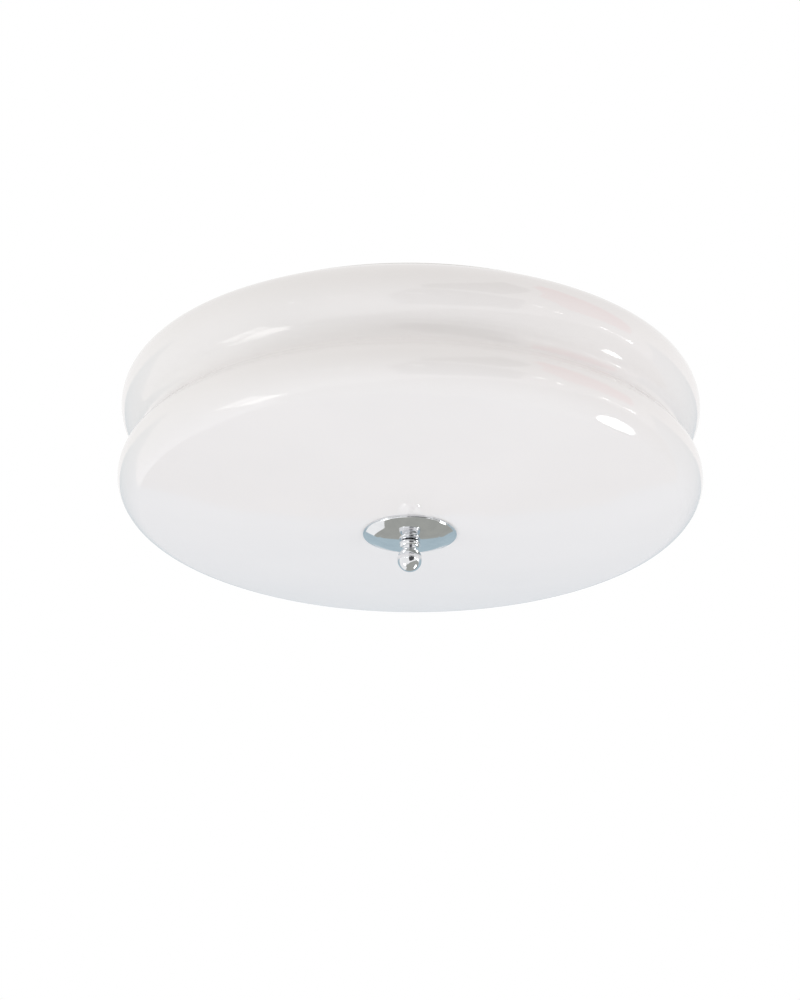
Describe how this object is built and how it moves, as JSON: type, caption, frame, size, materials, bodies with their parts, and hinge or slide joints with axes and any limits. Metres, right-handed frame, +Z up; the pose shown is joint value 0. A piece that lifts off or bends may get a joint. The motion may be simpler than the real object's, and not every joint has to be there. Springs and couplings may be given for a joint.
{
  "type": "flush ceiling light",
  "caption": "Flush ceiling light with a two-tier opal glass shade on a steel pan, held by a chromed cap and a ball finial, with screw-in lamps inside.",
  "frame": {"origin": "centre of the ceiling bracket's upper face, in the plane of the ceiling", "axes": "+Z up into the ceiling; the light hangs below; +X along the ceiling bracket and its slots"},
  "size_m": [0.3999, 0.4, 0.1469],
  "materials": {
    "zinc_steel": "bright zinc plate",
    "nickel": "satin nickel plate",
    "white_paint": "white powder coat",
    "foam": "closed-cell foam",
    "rivet_aluminium": "bare",
    "ceramic": "white glazed ceramic",
    "brass": "bright",
    "grommet_rubber": "matt",
    "glass_fibre_sleeve": "braided glass fibre",
    "copper": "bare copper",
    "block_plastic": "moulded",
    "earth_insulation": "green and yellow",
    "opal_glass": "polished opal",
    "soft_clear": "translucent silicone",
    "chrome": "polished",
    "bulb_glass": "frosted",
    "bulb_plastic": "white moulded",
    "contact_insulator": "dark, with a bright contact"
  },
  "bodies": {
    "pan": {"ceiling_bracket": "zinc_steel", "pan_screws": "zinc_steel", "pan_washers": "zinc_steel", "thumb_nuts": "nickel", "ceiling_pan": "white_paint", "foam_ring": "foam", "centre_rod": "zinc_steel", "rod_plate_washer": "zinc_steel", "rod_upper_nut": "zinc_steel", "rod_spring_washer": "zinc_steel", "rod_lower_nut": "zinc_steel", "holder_bracket_1": "zinc_steel", "holder_bracket_2": "zinc_steel", "holder_bracket_3": "zinc_steel", "bracket_rivets": "rivet_aluminium", "lampholder_1": "ceramic", "lampholder_2": "ceramic", "lampholder_3": "ceramic", "screw_shell_1": "brass", "screw_shell_2": "brass", "screw_shell_3": "brass", "centre_contact_1": "brass", "centre_contact_2": "brass", "centre_contact_3": "brass", "holder_screws": "zinc_steel", "lead_grommets": "grommet_rubber", "lead_sleeve_1": "glass_fibre_sleeve", "lead_sleeve_2": "glass_fibre_sleeve", "lead_sleeve_3": "glass_fibre_sleeve", "live_tails": "copper", "neutral_tails": "copper", "terminal_block": "block_plastic", "terminal_inserts": "brass", "terminal_screws": "zinc_steel", "block_screws": "zinc_steel", "earth_screw": "brass", "earth_washer": "zinc_steel", "earth_lug": "nickel", "earth_lead": "earth_insulation"},
    "shade": {"glass_shade": "opal_glass", "hole_bush": "soft_clear"},
    "cap": {"chrome_cap": "chrome", "cap_ring": "soft_clear"},
    "finial": {"ball_finial": "chrome"},
    "bulb_1_end": {"bulb_contact_1": "contact_insulator"},
    "bulb_1": {"bulb_globe_1": "bulb_glass", "bulb_body_1": "bulb_plastic", "bulb_cap_1": "nickel"},
    "bulb_2_end": {"bulb_contact_2": "contact_insulator"},
    "bulb_2": {"bulb_globe_2": "bulb_glass", "bulb_body_2": "bulb_plastic", "bulb_cap_2": "nickel"},
    "bulb_3_end": {"bulb_contact_3": "contact_insulator"},
    "bulb_3": {"bulb_globe_3": "bulb_glass", "bulb_body_3": "bulb_plastic", "bulb_cap_3": "nickel"}
  },
  "joints": [
    {"name": "shade_lowering", "type": "slide", "parent": "pan", "child": "shade", "axis": [0, 0, -1], "range_m": [0, 0.14]},
    {"name": "cap_travel", "type": "slide", "parent": "shade", "child": "cap", "axis": [0, 0, -1], "range_m": [0, 0.01]},
    {"name": "finial_turn", "type": "hinge", "parent": "cap", "child": "finial", "pos_m": [0, 0, -0.138], "axis": [0, 0, -1], "range_deg": [0, 3600]},
    {"name": "bulb_1_travel", "type": "slide", "parent": "pan", "child": "bulb_1_end", "axis": [0.866, 0.5, 0], "range_m": [0, 0.0255]},
    {"name": "bulb_1_turn", "type": "hinge", "parent": "bulb_1_end", "child": "bulb_1", "pos_m": [0.0432, 0.02495, -0.062], "axis": [0.866, 0.5, 0], "range_deg": [0, 2520]},
    {"name": "bulb_2_travel", "type": "slide", "parent": "pan", "child": "bulb_2_end", "axis": [-0.866, 0.5, 0], "range_m": [0, 0.0255]},
    {"name": "bulb_2_turn", "type": "hinge", "parent": "bulb_2_end", "child": "bulb_2", "pos_m": [-0.0432, 0.02495, -0.062], "axis": [-0.866, 0.5, 0], "range_deg": [0, 2520]},
    {"name": "bulb_3_travel", "type": "slide", "parent": "pan", "child": "bulb_3_end", "axis": [0, -1, 0], "range_m": [0, 0.0255]},
    {"name": "bulb_3_turn", "type": "hinge", "parent": "bulb_3_end", "child": "bulb_3", "pos_m": [0, -0.05, -0.062], "axis": [0, -1, 0], "range_deg": [0, 2520]}
  ],
  "couplings": [
    {"joint": "finial_turn", "follows": "cap_travel", "rad_per_m": 6283.2},
    {"joint": "bulb_1_travel", "follows": "bulb_1_turn", "m_per_rad": 0.00057757},
    {"joint": "bulb_2_travel", "follows": "bulb_2_turn", "m_per_rad": 0.00057757},
    {"joint": "bulb_3_travel", "follows": "bulb_3_turn", "m_per_rad": 0.00057757}
  ]
}
